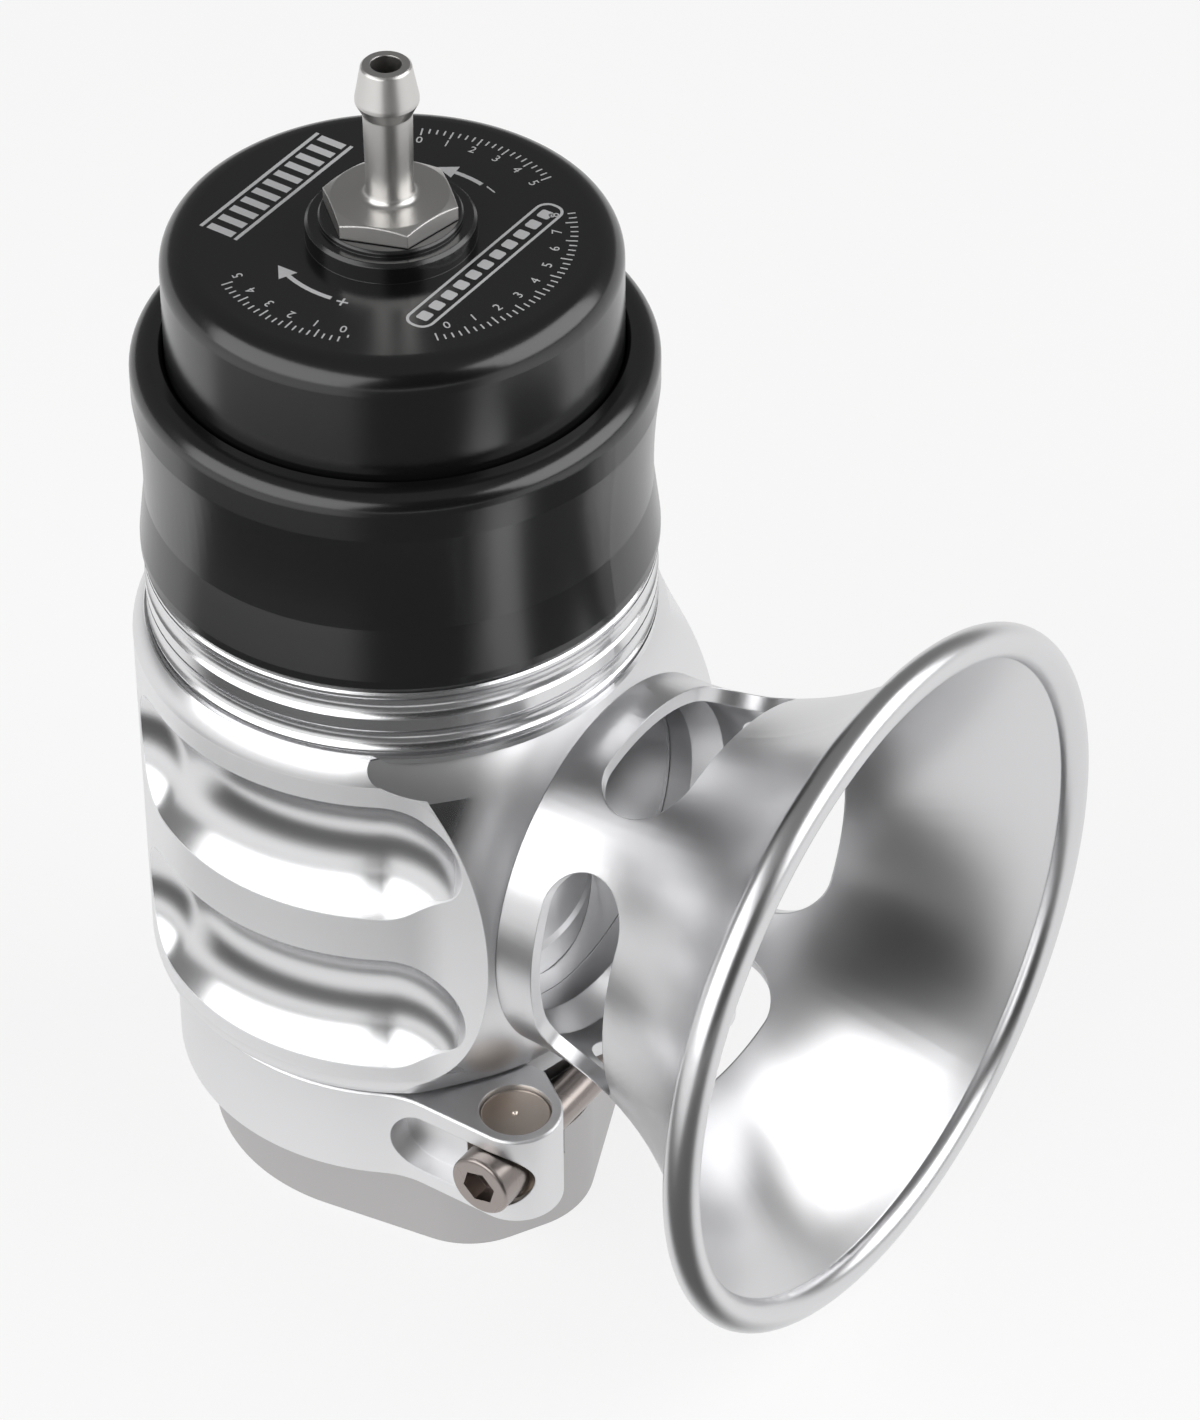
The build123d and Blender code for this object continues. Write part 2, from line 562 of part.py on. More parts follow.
collar_in = SPIGOT_R + LOOSE
waist_low = (COLLAR_R - WAIST_IN, COLLAR_BOTTOM + WAIST_LOW)
waist_mid = (COLLAR_R - WAIST_MID_IN, COLLAR_BOTTOM + WAIST_MID)
waist_high = (COLLAR_R, COLLAR_BOTTOM + WAIST_HIGH)
edge_low = (COLLAR_R, COLLAR_TOP - COLLAR_EDGE_R)
edge_in = COLLAR_EDGE_R * (1 - math.sqrt(0.5))
edge_high = (COLLAR_R - COLLAR_EDGE_R, COLLAR_TOP)
with BuildPart() as cap_collar:
    with BuildSketch(Plane.XZ):
        with BuildLine():
            Polyline((collar_in, COLLAR_BOTTOM), (COLLAR_R - COLLAR_FOOT_EDGE, COLLAR_BOTTOM),
                     (COLLAR_R, COLLAR_BOTTOM + 2 * COLLAR_FOOT_EDGE),
                     (COLLAR_R, COLLAR_BOTTOM + COLLAR_FOOT_H), waist_low)
            ThreePointArc(waist_low, waist_mid, waist_high)
            Line(waist_high, edge_low)
            ThreePointArc(edge_low, (COLLAR_R - edge_in, COLLAR_TOP - edge_in), edge_high)
            Polyline(edge_high, (COLLAR_BORE + 0.5, COLLAR_TOP), (COLLAR_BORE, COLLAR_TOP - 0.5),
                     (COLLAR_BORE, SPIGOT_TOP_Z + LOOSE), (collar_in, SPIGOT_TOP_Z + LOOSE),
                     (collar_in, COLLAR_BOTTOM))
        make_face()
    revolve(axis=Axis.Z)
cap_collar.part.label = "cap_collar"
export_step(cap_collar.part, "parts/cap_collar.step")

with BuildPart() as collar_o_ring:
    with Locations((0, 0, SPIGOT_SEAL_Z)):
        Torus((SPIGOT_SEAL_R + collar_in) / 2, (collar_in - SPIGOT_SEAL_R) / 2 - SEAL / 2)
collar_o_ring.part.label = "collar_o_ring"
export_step(collar_o_ring.part, "parts/collar_o_ring.step")


# Adjuster cap with its skirt, stepped boss and port

cap_in = TUBE_R + LOOSE
cap_edge_in = CAP_EDGE_R * (1 - math.sqrt(0.5))
with BuildPart() as adjuster_cap:
    with BuildSketch(Plane.XZ):
        with BuildLine():
            Polyline((STUD_R + RUN, CAP_UNDER), (cap_in, CAP_UNDER), (cap_in, CAP_BOTTOM),
                     (CAP_R - 0.4, CAP_BOTTOM), (CAP_R, CAP_BOTTOM + 0.4), (CAP_R, CAP_TOP - CAP_EDGE_R))
            ThreePointArc((CAP_R, CAP_TOP - CAP_EDGE_R), (CAP_R - cap_edge_in, CAP_TOP - cap_edge_in),
                          (CAP_R - CAP_EDGE_R, CAP_TOP))
            Polyline((CAP_R - CAP_EDGE_R, CAP_TOP), (BOSS_R, CAP_TOP), (BOSS_R, BOSS_TOP - 0.5),
                     (BOSS_R - 0.5, BOSS_TOP), (BOSS2_R, BOSS_TOP), (BOSS2_R, BOSS2_TOP - 0.3),
                     (BOSS2_R - 0.3, BOSS2_TOP), (NIPPLE_SEAL_R, BOSS2_TOP),
                     (NIPPLE_SEAL_R, BOSS2_TOP - NIPPLE_SEAL_D), (STUD_R + RUN, BOSS2_TOP - NIPPLE_SEAL_D),
                     (STUD_R + RUN, CAP_UNDER))
        make_face()
        with Locations((CAP_R, CAP_SEAL_Z)):
            Rectangle(2 * (CAP_R - CAP_SEAL_R), CAP_SEAL_W, mode=Mode.SUBTRACT)
    revolve(axis=Axis.Z)
adjuster_cap.part.label = "adjuster_cap"
export_step(adjuster_cap.part, "parts/adjuster_cap.step")

with BuildPart() as cap_o_ring:
    with Locations((0, 0, CAP_SEAL_Z)):
        Torus((CAP_SEAL_R + COLLAR_BORE) / 2, (COLLAR_BORE - CAP_SEAL_R) / 2 - SEAL)
cap_o_ring.part.label = "cap_o_ring"
export_step(cap_o_ring.part, "parts/cap_o_ring.step")


# Hose nipple and the O-ring under its hexagon

with BuildPart() as hose_nipple:
    with BuildSketch(Plane.XY.offset(HEX_BOTTOM)):
        RegularPolygon(HEX_AF / 2, 6, major_radius=False, rotation=HEX_TURN)
    extrude(amount=HEX_TOP - HEX_BOTTOM)
    # Turned corners of the hexagon
    with BuildSketch(Plane.XZ):
        with BuildLine():
            Polyline((0, HEX_BOTTOM - 1), (HEX_AF * 0.65, HEX_BOTTOM - 1), (HEX_AF * 0.65, HEX_TOP - 1.2),
                     (HEX_AF / 2 - 0.2, HEX_TOP), (0, HEX_TOP), close=True)
        make_face()
    revolve(axis=Axis.Z, mode=Mode.INTERSECT)
    with BuildSketch(Plane.XZ):
        with BuildLine():
            Polyline((0, STUD_BOTTOM), (STUD_R - 0.5, STUD_BOTTOM), (STUD_R, STUD_BOTTOM + 0.5),
                     (STUD_R, HEX_BOTTOM + 0.5), (0, HEX_BOTTOM + 0.5), close=True)
        make_face()
        with BuildLine():
            Polyline((0, HEX_TOP - 0.5), (NIPPLE_LOW_R + 1.2, HEX_TOP - 0.5), (NIPPLE_LOW_R + 1.2, HEX_TOP))
            ThreePointArc((NIPPLE_LOW_R + 1.2, HEX_TOP), (NIPPLE_LOW_R + 0.35, HEX_TOP + 0.35),
                          (NIPPLE_LOW_R, HEX_TOP + 1.2))
            Polyline((NIPPLE_LOW_R, HEX_TOP + 1.2), (NIPPLE_SHAFT_R, BARB_FOOT_Z), (BARB_R, BARB_Z - 0.3),
                     (BARB_R, BARB_Z + 0.3), (NIPPLE_SHAFT_R + 0.1, NIPPLE_TOP - 0.3),
                     (NIPPLE_SHAFT_R - 0.2, NIPPLE_TOP), (0, NIPPLE_TOP), (0, HEX_TOP - 0.5))
        make_face()
    revolve(axis=Axis.Z)
    with Locations((0, 0, STUD_BOTTOM)):
        Cylinder(NIPPLE_HOLE_R, NIPPLE_TOP - STUD_BOTTOM, align=(Align.CENTER, Align.CENTER, Align.MIN),
                 mode=Mode.SUBTRACT)
hose_nipple.part.label = "hose_nipple"
export_step(hose_nipple.part, "parts/hose_nipple.step")

nipple_seal_h = NIPPLE_SEAL_D + HEX_BOTTOM - BOSS2_TOP
with BuildPart() as nipple_o_ring:
    with Locations((0, 0, BOSS2_TOP - NIPPLE_SEAL_D + nipple_seal_h / 2)):
        Torus((STUD_R + NIPPLE_SEAL_R) / 2, nipple_seal_h / 2 - SEAL / 2)
nipple_o_ring.part.label = "nipple_o_ring"
export_step(nipple_o_ring.part, "parts/nipple_o_ring.step")


# Piston, a light cup that closes the inlet throat

piston_low = SEAT_Z + FACE
piston_floor_z = piston_low + PISTON_FLOOR
foot_z = piston_low + PISTON_FOOT_H
head_z = PISTON_TOP - PISTON_HEAD_H
waist_r = PISTON_R - PISTON_RELIEF
spigot_in_r = SPRING_SPIGOT_R - SPRING_SPIGOT_WALL
spring_seat_z = piston_floor_z + SPRING_SPIGOT_H
with BuildPart() as piston:
    with BuildSketch(Plane.XZ):
        with BuildLine():
            Polyline((0, piston_low), (PISTON_R - 0.3, piston_low), (PISTON_R, piston_low + 0.3),
                     (PISTON_R, foot_z), (waist_r, foot_z + 1), (waist_r, head_z), (PISTON_R, head_z + 1),
                     (PISTON_R, PISTON_TOP - 0.5), (PISTON_R - 0.5, PISTON_TOP), (PISTON_IN_R, PISTON_TOP),
                     (PISTON_IN_R, piston_floor_z), (SPRING_SPIGOT_R, piston_floor_z),
                     (SPRING_SPIGOT_R, spring_seat_z), (spigot_in_r, spring_seat_z),
                     (spigot_in_r, piston_floor_z), (0, piston_floor_z), close=True)
        make_face()
        with Locations((PISTON_R, PISTON_RING_Z)):
            Rectangle(2 * (PISTON_R - PISTON_RING_R), PISTON_RING_W, mode=Mode.SUBTRACT)
        with Locations((PISTON_R, WEAR_Z)):
            Rectangle(2 * (PISTON_R - WEAR_R), WEAR_W, mode=Mode.SUBTRACT)
        with Locations(((FACE_RING_IN + FACE_RING_OUT) / 2, piston_low)):
            Rectangle(FACE_RING_OUT - FACE_RING_IN, 2 * FACE_RING_D, mode=Mode.SUBTRACT)
    revolve(axis=Axis.Z)
piston.part.label = "piston"
export_step(piston.part, "parts/piston.step")

with BuildPart() as piston_o_ring:
    with Locations((0, 0, PISTON_RING_Z)):
        Torus((PISTON_RING_R + BORE_R) / 2, (BORE_R - PISTON_RING_R) / 2 - SEAL)
piston_o_ring.part.label = "piston_o_ring"
export_step(piston_o_ring.part, "parts/piston_o_ring.step")

with BuildPart() as piston_wear_ring:
    with BuildSketch(Plane.XY.offset(WEAR_Z - WEAR_W / 2 + SEAL)):
        Circle(BORE_R - SEAL)
        Circle(WEAR_R + SEAL, mode=Mode.SUBTRACT)
        with Locations((-BORE_R, 0)):
            Rectangle(6, 1.0, mode=Mode.SUBTRACT)
    extrude(amount=WEAR_W - 2 * SEAL)
piston_wear_ring.part.label = "piston_wear_ring"
export_step(piston_wear_ring.part, "parts/piston_wear_ring.step")

with BuildPart() as piston_face_seal:
    with BuildSketch(Plane.XY.offset(SEAT_Z + SEAL)):
        Circle(FACE_RING_OUT - SEAL)
        Circle(FACE_RING_IN + SEAL, mode=Mode.SUBTRACT)
    extrude(amount=FACE_RING_D + FACE - 2 * SEAL)
piston_face_seal.part.label = "piston_face_seal"
export_step(piston_face_seal.part, "parts/piston_face_seal.step")


# Spring washer under the cap, and the two springs between it and the piston

washer_top = CAP_UNDER - FACE
washer_low = washer_top - WASHER_H
with BuildPart() as spring_washer:
    with BuildSketch(Plane.XZ):
        with BuildLine():
            Polyline((WASHER_IN_R, washer_low), (SPRING_SPIGOT_R - 0.2, washer_low - SPRING_SPIGOT_H + 0.5),
                     (SPRING_SPIGOT_R, washer_low - SPRING_SPIGOT_H + 0.5), (SPRING_SPIGOT_R, washer_low),
                     (WASHER_R, washer_low), (WASHER_R, washer_top), (WASHER_IN_R, washer_top), close=True)
        make_face()
    revolve(axis=Axis.Z)
spring_washer.part.label = "spring_washer"
export_step(spring_washer.part, "parts/spring_washer.step")

spring_room = washer_low - piston_floor_z


def spring_line_ends(wire):
    return (piston_floor_z + wire + SEAL, spring_room - 2 * wire - 2 * SEAL)


main_start, main_rise = spring_line_ends(SPRING_WIRE)
with BuildPart() as main_spring:
    with BuildLine(Plane.XY.offset(main_start)) as main_line:
        Helix(pitch=main_rise / SPRING_TURNS, height=main_rise, radius=SPRING_R)
    with BuildSketch(Plane(main_line.line @ 0, z_dir=main_line.line % 0)):
        Circle(SPRING_WIRE)
    sweep()
main_spring.part.label = "main_spring"
export_step(main_spring.part, "parts/main_spring.step")

inner_start, inner_rise = spring_line_ends(INNER_WIRE)
with BuildPart() as inner_spring:
    with BuildLine(Plane.XY.offset(inner_start)) as inner_line:
        Helix(pitch=inner_rise / INNER_TURNS, height=inner_rise, radius=INNER_R)
    with BuildSketch(Plane(inner_line.line @ 0, z_dir=inner_line.line % 0)):
        Circle(INNER_WIRE)
    sweep()
inner_spring.part.label = "inner_spring"
export_step(inner_spring.part, "parts/inner_spring.step")
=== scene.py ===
"""Blow off valve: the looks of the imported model, laid out as an add-on.

The valve stands on the flange's foot at the origin, its axis along Z and its trumpet along X. Sizes are in
metres.
"""

import math

import bmesh
import bpy
from mathutils import Matrix, Vector


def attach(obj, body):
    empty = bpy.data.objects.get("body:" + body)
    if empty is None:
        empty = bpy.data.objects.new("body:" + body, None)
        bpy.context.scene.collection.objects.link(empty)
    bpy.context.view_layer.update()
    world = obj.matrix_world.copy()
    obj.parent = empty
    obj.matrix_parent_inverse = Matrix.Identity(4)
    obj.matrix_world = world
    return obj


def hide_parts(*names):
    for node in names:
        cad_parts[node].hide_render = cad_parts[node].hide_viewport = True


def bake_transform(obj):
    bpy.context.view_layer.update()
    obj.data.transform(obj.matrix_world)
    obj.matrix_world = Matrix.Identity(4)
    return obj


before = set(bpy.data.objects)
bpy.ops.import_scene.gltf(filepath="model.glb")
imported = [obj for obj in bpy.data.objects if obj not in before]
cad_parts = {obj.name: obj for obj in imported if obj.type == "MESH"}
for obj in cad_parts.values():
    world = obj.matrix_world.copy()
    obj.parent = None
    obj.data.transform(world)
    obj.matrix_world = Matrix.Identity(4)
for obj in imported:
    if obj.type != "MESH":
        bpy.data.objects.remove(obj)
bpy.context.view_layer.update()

bl_info = {
    "name": "Blow off valve",
    "version": (1, 0, 0),
    "blender": (4, 5, 0),
    "location": "View3D > Sidebar > Valve",
    "description": "Dresses a blow off valve: turned and polished metal, the cap's printed marks, a studio",
    "category": "Object",
}

MM = 0.001

# Places that the part's source gives
OUTLET_Z = 63.1 * MM
BODY_R = 39.8 * MM
FLAT_Y = 30.3 * MM
FLAT_START = 25.75 * MM
WALL_LOW = 35.9 * MM
WALL_TOP = 93.1 * MM
NECK_LOW = 96.6 * MM
CAP_TOP = 161.2 * MM
SCREW_X = 35.56 * MM
SCREW_Z = 21.65 * MM
PIN_Y = 23.59 * MM

# The room that the scoops take in the body's sides, where the outlet's own turning starts, and how near to a
# side a point still counts as being on it
SCOOP_Y = 18 * MM
SCOOP_LOW = 38 * MM
SCOOP_TOP = 90 * MM
SCOOP_END = 30 * MM
SCOOP_FADE = 3 * MM
OUTLET_START = 26 * MM
OUTLET_FADE = 12 * MM
SKIN = 0.12 * MM

# Tool lines and grains of noise to the metre, how fast lines change with the radius, and how much the radius
# counts in a line's place
BODY_LINES = 3600.0
RING_LINES = 7000.0
HORN_LINES = 6000.0
FINE_LINES = 9000.0
BLAST_GRAIN = 2600.0
INK_GRAIN = 5000.0
LINE_RUN = 40.0
METAL_LEAN = 0.7
BLACK_LEAN = 0.8

# Bumps, as depth and strength, and the radius of the bevel that softens edges
BODY_BUMP = (0.01 * MM, 0.12)
METAL_BUMP = (0.02 * MM, 0.35)
BLACK_BUMP = (0.008 * MM, 0.25)
METAL_EDGE = 0.3 * MM
SCREW_EDGE = 0.15 * MM
BLACK_EDGE = 0.2 * MM

# Unevenness of the gloss, as noise to the metre and share
BODY_CLOUD = (60.0, 0.04)
METAL_CLOUD = (45.0, 0.06)
BLACK_CLOUD = (30.0, 0.05)
PLAIN_CLOUD = (400.0, 0.1)

# Finishes that have no setting; the pairs are colour and roughness
HORN_COLOUR = (0.70, 0.70, 0.71)
PIN_ROUGH = 0.22
WASHER_ROUGH = 0.3
FOOT_DULLER = 0.03
SATIN_METAL = 0.5
ANODISED_IOR = 1.66
INK_IOR = 1.4
INK_ROUGH = 0.45
INK_UNEVEN = 0.2
INK_THIN = 0.86
SCREW = ((0.36, 0.32, 0.30), 0.27)
NIPPLE = ((0.64, 0.63, 0.615), 0.33)
PISTON = ((0.62, 0.62, 0.63), 0.35)
WIRE = ((0.35, 0.36, 0.38), 0.3)
RUBBER = ((0.02, 0.02, 0.02), 0.55)
BEARING = ((0.8, 0.78, 0.7), 0.5)
SEALS = ("flange_o_ring", "trumpet_o_ring", "collar_o_ring", "cap_o_ring", "nipple_o_ring", "piston_o_ring",
         "piston_face_seal")
SPRINGS = ("main_spring", "inner_spring")

# The springs: the height where each is cut in two
SPRING_CUT = 114 * MM

# The print on the cap: its height, which lets it sink a little into the face, and its thickness
PRINT_Z = CAP_TOP - 0.02 * MM
PRINT_THICK = 0.05 * MM

# Tick scales, as first degree, last degree and whether the numbers' heads point inwards; every fourth tick is
# long
TICK_SCALES = ((66.0, 116.0, False), (-40.0, 45.0, True), (-118.0, -70.5, False))
TICK_R = 25.6 * MM
TICK_STEP = 2.5
LONG_STEP = TICK_STEP * 4
TICK_WIDTH = 0.22 * MM
TICK_LENGTH = 1.1 * MM
TICK_EXTRA = 0.6 * MM
TICK_EXTRA_IN = 0.85 * MM
NUMBER_R = 23.2 * MM
NUMBER_SIZE = 2.1 * MM

# Arrows, as degrees at the tip and at the tail, and sign; the line starts some degrees behind the tip, and
# the sign stands some degrees behind the tail
ARROWS = ((-115.0, -83.0, "+"), (99.0, 78.0, "\u2013"))
ARROW_R = 17.2 * MM
ARROW_HEAD = 2.9 * MM
ARROW_LINE = 0.7 * MM
ARROW_NECK = 4.9
ARROW_STEPS = 24
SIGN_PAST = 6.0
SIGN_SIZE = 3.6 * MM

# Half the depth of the thin flat that a bent line starts as
STRIP_HALF = 0.05 * MM

# Straight marks, across the cap and along it
STRIPE_BAR_X = -20.2 * MM
STRIPE_LINES = 3.0 * MM
BLOCK_BAR_X = 15.2 * MM
BAR_COPIES = 10

# Camera
CAMERA_AT = (0.4100, -0.5458, 0.6447)
CAMERA_LOOK = (-0.4344, 0.6322, -0.6416)
CAMERA_ROLL = -0.005
CAMERA_TURN = -53.0
TOWARDS_CAMERA = (math.cos(math.radians(CAMERA_TURN)), math.sin(math.radians(CAMERA_TURN)))

# Soft boxes, as name, degrees to the camera's right, degrees up, width, depth and brightness
SOFT_BOXES = (
    ("left_soft_box", -56.0, 29.0, 1.30, 0.78, 2.1),
    ("right_soft_box", 80.0, 35.0, 1.02, 0.72, 2.5),
)
LAMP_REACH = 0.9
MIDDLE = Vector((15 * MM, 0, 80 * MM))

# The room's dark side, and each edge of it as a limit and a softness
DARK_TURN = CAMERA_TURN + 13.0
DARK_AHEAD = (math.cos(math.radians(DARK_TURN)), math.sin(math.radians(DARK_TURN)))
DARK_SIDE = (0.89, 0.1)
DARK_TOP = (0.78, 0.12)
SWEEP_TOP = (0.05, 0.08)

FLOOR_SIZE = 6.0
FLOOR_ROUGH = 0.9

# The dark card before the valve: its height, reach and colour, and each edge of its cloth as a limit and a
# softness
CARD_Z = 0.4 * MM
CARD_BACK = -0.4
CARD_FAR = 1.2
CARD_COLOUR = (0.14, 0.14, 0.14)
CARD_HIND = (-0.1, 0.25)
CARD_RIGHT = (0.62, 0.25)
CARD_NEAR = (94 * MM, 26 * MM)
CARD_LEFT = (0.3, 0.25)
CARD_LEFT_END = (250 * MM, 180 * MM)


# Shader tools


class Value:
    """One output of a node, for shader maths written as expressions."""

    def __init__(self, recipe, socket):
        self.recipe = recipe
        self.socket = socket

    def _math(self, operation, *terms):
        return self.recipe.node("ShaderNodeMath", {"operation": operation}, dict(enumerate(terms)))

    def __add__(self, other):
        return self._math("ADD", self, other)

    def __radd__(self, other):
        return self._math("ADD", other, self)

    def __sub__(self, other):
        return self._math("SUBTRACT", self, other)

    def __rsub__(self, other):
        return self._math("SUBTRACT", other, self)

    def __mul__(self, other):
        return self._math("MULTIPLY", self, other)

    def __rmul__(self, other):
        return self._math("MULTIPLY", other, self)

    def __truediv__(self, other):
        return self._math("DIVIDE", self, other)

    def __pow__(self, other):
        return self._math("POWER", self, other)

    def __abs__(self):
        return self._math("ABSOLUTE", self)

    def root(self):
        return self._math("SQRT", self)

    def least(self, other):
        return self._math("MINIMUM", self, other)

    def above(self, limit, soft=0.0):
        """1 where the value is above the limit, with a soft edge of the given width."""
        if not soft:
            return self._math("GREATER_THAN", self, limit)
        return self.recipe.node("ShaderNodeMapRange", {"interpolation_type": "SMOOTHSTEP"}, {
            "Value": self, "From Min": limit - soft / 2, "From Max": limit + soft / 2})

    def beside(self, out):
        """Another output of the same node."""
        return Value(self.recipe, self.socket.node.outputs[out])


class Recipe:
    """The nodes of one material, or of the world, while they are put together."""

    def __init__(self, block):
        self.block = block
        self.block.use_nodes = True
        self.tree = self.block.node_tree
        self.tree.nodes.clear()

    def node(self, kind, settings=None, inputs=None, out=0):
        """Adds a node of a kind, with its settings, then its sockets' values or links. Gives one output."""
        made = self.tree.nodes.new(kind)
        for key, value in (settings or {}).items():
            setattr(made, key, value)
        for key, value in (inputs or {}).items():
            spot = made.inputs[key]
            if isinstance(value, Value):
                self.tree.links.new(value.socket, spot)
            elif spot.type == "RGBA":
                spot.default_value = (*value, 1.0)
            else:
                spot.default_value = value
        return Value(self, made.outputs[out]) if made.outputs else None

    def place(self, kind="Object"):
        """The point's coordinates, and its x, y and z apart."""
        point = self.node("ShaderNodeTexCoord", out=kind)
        x = self.node("ShaderNodeSeparateXYZ", inputs={0: point})
        return point, x, x.beside("Y"), x.beside("Z")

    def noise(self, vector, scale, detail=2.0, roughness=0.5):
        return self.node("ShaderNodeTexNoise", inputs={
            "Vector": vector, "Scale": scale, "Detail": detail, "Roughness": roughness})

    def lines(self, along, across, fineness):
        """Fine tool lines round a turned piece: noise that is stretched round the axis."""
        grain = self.node("ShaderNodeCombineXYZ", inputs={"X": across * LINE_RUN, "Z": along * fineness})
        return self.noise(grain, 1.0, detail=3.0, roughness=0.6)

    def uneven(self, point, scale, share, detail=2.0):
        """A slow change above and below zero, for a roughness."""
        return (self.noise(point, scale, detail) - 0.5) * share

    def blend(self, share, low, high):
        """A colour between two, by a share from 0 to 1."""
        return self.node("ShaderNodeMix", {"data_type": "RGBA"}, {0: share, 6: low, 7: high}, out=2)

    def either(self, share, first, second):
        """A mix of two shaders, by a share from 0 to 1."""
        return self.node("ShaderNodeMixShader", inputs={0: share, 1: first, 2: second})

    def bump(self, height, distance, strength=1.0, edge=0.0):
        """A bump, over edges that are softened by a bevel of the given radius."""
        inputs = {"Height": height, "Distance": distance, "Strength": strength}
        if edge:
            inputs["Normal"] = self.node("ShaderNodeBevel", {"samples": 6}, {"Radius": edge})
        return self.node("ShaderNodeBump", inputs=inputs)

    def surface(self, **sockets):
        """A Principled shader; an underscore in a socket's name stands for a blank."""
        return self.node("ShaderNodeBsdfPrincipled", inputs={
            key.replace("_", " "): value for key, value in sockets.items()})

    def done(self, shader):
        """Ends with the output node, and gives the material or the world."""
        kind = "World" if isinstance(self.block, bpy.types.World) else "Material"
        self.node("ShaderNodeOutput" + kind, inputs={"Surface": shader})
        return self.block


def coat(item, material):
    """Gives a CAD node, by its name, or a piece one material all over."""
    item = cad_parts[item] if isinstance(item, str) else item
    item.data.materials.clear()
    item.data.materials.append(material)


# Finishes


def bright_body(colour, satin_colour, satin, polished, domed):
    """Valve body: satin sides, and a polish on what was turned or milled into them."""
    recipe = Recipe(bpy.data.materials.new("valve_body_metal"))
    point, x, y, z = recipe.place()
    radius = (x * x + y * y).root()
    around = ((z - OUTLET_Z) * (z - OUTLET_Z) + y * y).root()
    below_neck = 1.0 - z.above(NECK_LOW)
    height = z.above(WALL_LOW) * (1.0 - z.above(WALL_TOP))
    round_side = radius.above(BODY_R - SKIN) * (1.0 - x.above(FLAT_START))
    flat_side = abs(y).above(FLAT_Y - SKIN) * x.above(FLAT_START)
    side = (round_side + flat_side).least(1.0) * height
    scoop = abs(y).above(SCOOP_Y) * z.above(SCOOP_LOW) * (1.0 - z.above(SCOOP_TOP))
    scoop = scoop * (1.0 - x.above(SCOOP_END, SCOOP_FADE))
    smooth = (1.0 - side) * (1.0 - scoop) * below_neck
    outlet = x.above(OUTLET_START, OUTLET_FADE) * (1.0 - side) * below_neck
    turned = recipe.lines(z, radius, BODY_LINES) * (1.0 - outlet)
    turned = turned + recipe.lines(x, around, BODY_LINES) * outlet
    blast = recipe.noise(point, BLAST_GRAIN, roughness=0.6)
    gloss = side * (satin - polished) + smooth * (domed - polished) + polished
    return recipe.done(recipe.surface(
        Base_Color=recipe.blend(side, colour, satin_colour),
        Metallic=1.0 - side * SATIN_METAL,
        Roughness=gloss + recipe.uneven(point, *BODY_CLOUD),
        Normal=recipe.bump(turned * (1.0 - side) + blast * side, *BODY_BUMP)))


def turned_metal(name, colour, rough, axis="Z", centre=(0.0, 0.0, 0.0), fineness=FINE_LINES, edge=METAL_EDGE):
    """Metal turned about an axis through a centre, with fine lines round it."""
    recipe = Recipe(bpy.data.materials.new(name))
    point, x, y, z = recipe.place()
    if axis == "X":
        along = x
        radius = ((y - centre[1]) ** 2.0 + (z - centre[2]) ** 2.0).root()
    else:
        along = z
        radius = ((x - centre[0]) ** 2.0 + (y - centre[1]) ** 2.0).root()
    lines = recipe.lines(along + radius * METAL_LEAN, radius, fineness)
    return recipe.done(recipe.surface(
        Base_Color=colour, Metallic=1.0, Roughness=recipe.uneven(point, *METAL_CLOUD) + rough,
        Normal=recipe.bump(lines, *METAL_BUMP, edge)))


def black_anodised(colour, rough):
    """Black anodised metal: dark, with a soft gloss and faint tool lines."""
    recipe = Recipe(bpy.data.materials.new("black_anodised"))
    point, x, y, z = recipe.place()
    radius = (x * x + y * y).root()
    lines = recipe.lines(z + radius * BLACK_LEAN, radius, RING_LINES)
    gloss = recipe.uneven(point, *BLACK_CLOUD, detail=3.0) + rough
    return recipe.done(recipe.surface(
        Base_Color=colour, Metallic=0.0, IOR=ANODISED_IOR, Roughness=gloss,
        Normal=recipe.bump(lines, *BLACK_BUMP, BLACK_EDGE)))


def plain(name, colour, rough, metal=0.0):
    """A plain finish with a little unevenness in its gloss."""
    recipe = Recipe(bpy.data.materials.new(name))
    point = recipe.place()[0]
    return recipe.done(recipe.surface(
        Base_Color=colour, Metallic=metal, Roughness=recipe.uneven(point, *PLAIN_CLOUD) + rough))


def print_ink(colour):
    """Pale pad-printed ink, a little thin in places."""
    recipe = Recipe(bpy.data.materials.new("print_ink"))
    point = recipe.place()[0]
    grain = recipe.noise(point, INK_GRAIN, roughness=0.6)
    thin = tuple(channel * INK_THIN for channel in colour)
    return recipe.done(recipe.surface(
        Base_Color=recipe.blend(grain, thin, colour), IOR=INK_IOR,
        Roughness=(grain - 0.5) * INK_UNEVEN + INK_ROUGH))


# Springs


def spring_part(node, name, below):
    """The part of a spring below or above the cut, as a closed piece of its own."""
    piece = bpy.data.objects.new(name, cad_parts[node].data.copy())
    bpy.context.scene.collection.objects.link(piece)
    bpy.ops.object.select_all(action="DESELECT")
    piece.select_set(True)
    bpy.context.view_layer.objects.active = piece
    bpy.ops.object.mode_set(mode="EDIT")
    bpy.ops.mesh.select_all(action="SELECT")
    bpy.ops.mesh.remove_doubles(threshold=0.001 * MM)
    bpy.ops.mesh.select_all(action="SELECT")
    bpy.ops.mesh.bisect(plane_co=(0, 0, SPRING_CUT), plane_no=(0, 0, 1), use_fill=True,
                        clear_inner=not below, clear_outer=below)
    bpy.ops.object.mode_set(mode="OBJECT")
    bpy.ops.object.shade_smooth_by_angle(angle=math.radians(40))
    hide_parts(node)
    return piece


# The cap's printed marks


